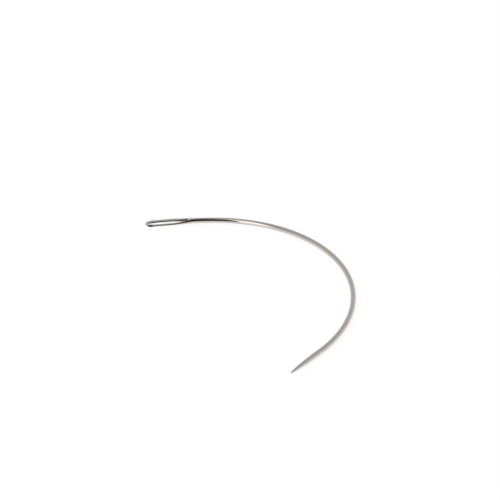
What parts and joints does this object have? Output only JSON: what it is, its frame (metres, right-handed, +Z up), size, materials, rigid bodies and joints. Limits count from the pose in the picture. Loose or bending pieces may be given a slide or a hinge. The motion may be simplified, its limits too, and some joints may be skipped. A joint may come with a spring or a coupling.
{
  "type": "curved sewing needle",
  "caption": "Curved hand-sewing needle: round steel wire bent to an open C, with a long flattened eye at one end and a sharp ground point at the other.",
  "frame": {"origin": "on the surface that the needle lies on, under the middle of its box", "axes": "+Z up, square to the plane of the bend; +X along the straight of the eye, from the butt towards the shank; +Y across the C, from the point's side to the eye's side"},
  "size_m": [0.0452, 0.066, 0.0012],
  "materials": {
    "nickel_plate": "bright nickel plate on steel wire, polished, with faint drawing and grinding marks along the wire"
  },
  "bodies": {
    "root": {"eye_head": "nickel_plate", "shank": "nickel_plate", "point": "nickel_plate"}
  },
  "joints": []
}
